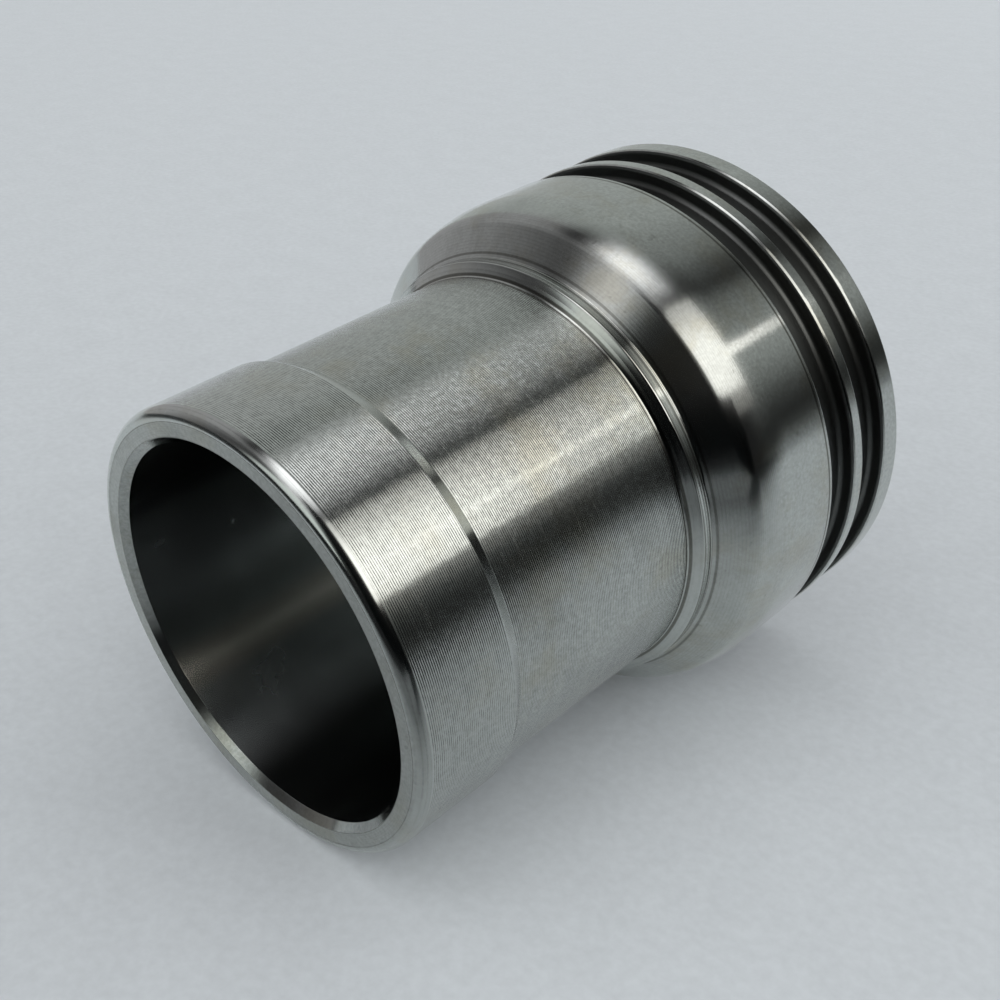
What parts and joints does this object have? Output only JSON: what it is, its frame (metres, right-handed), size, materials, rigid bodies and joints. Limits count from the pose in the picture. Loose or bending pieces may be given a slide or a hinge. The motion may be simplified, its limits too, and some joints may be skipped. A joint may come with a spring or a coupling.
{
  "type": "injector sleeve",
  "caption": "Turned steel injector sleeve: plain tube with a rounded nose, raised collar, bell-shaped shoulder and a wider head with seal ring grooves.",
  "frame": {"origin": "centre of the nose end face, which the sleeve stands on", "axes": "+Z along the sleeve's axis, from the nose to the head; X and Y are across it and equal"},
  "size_m": [0.0498, 0.0498, 0.0577],
  "materials": {
    "machined_steel": "fine turned, bright"
  },
  "bodies": {
    "root": {"sleeve": "machined_steel"}
  },
  "joints": []
}
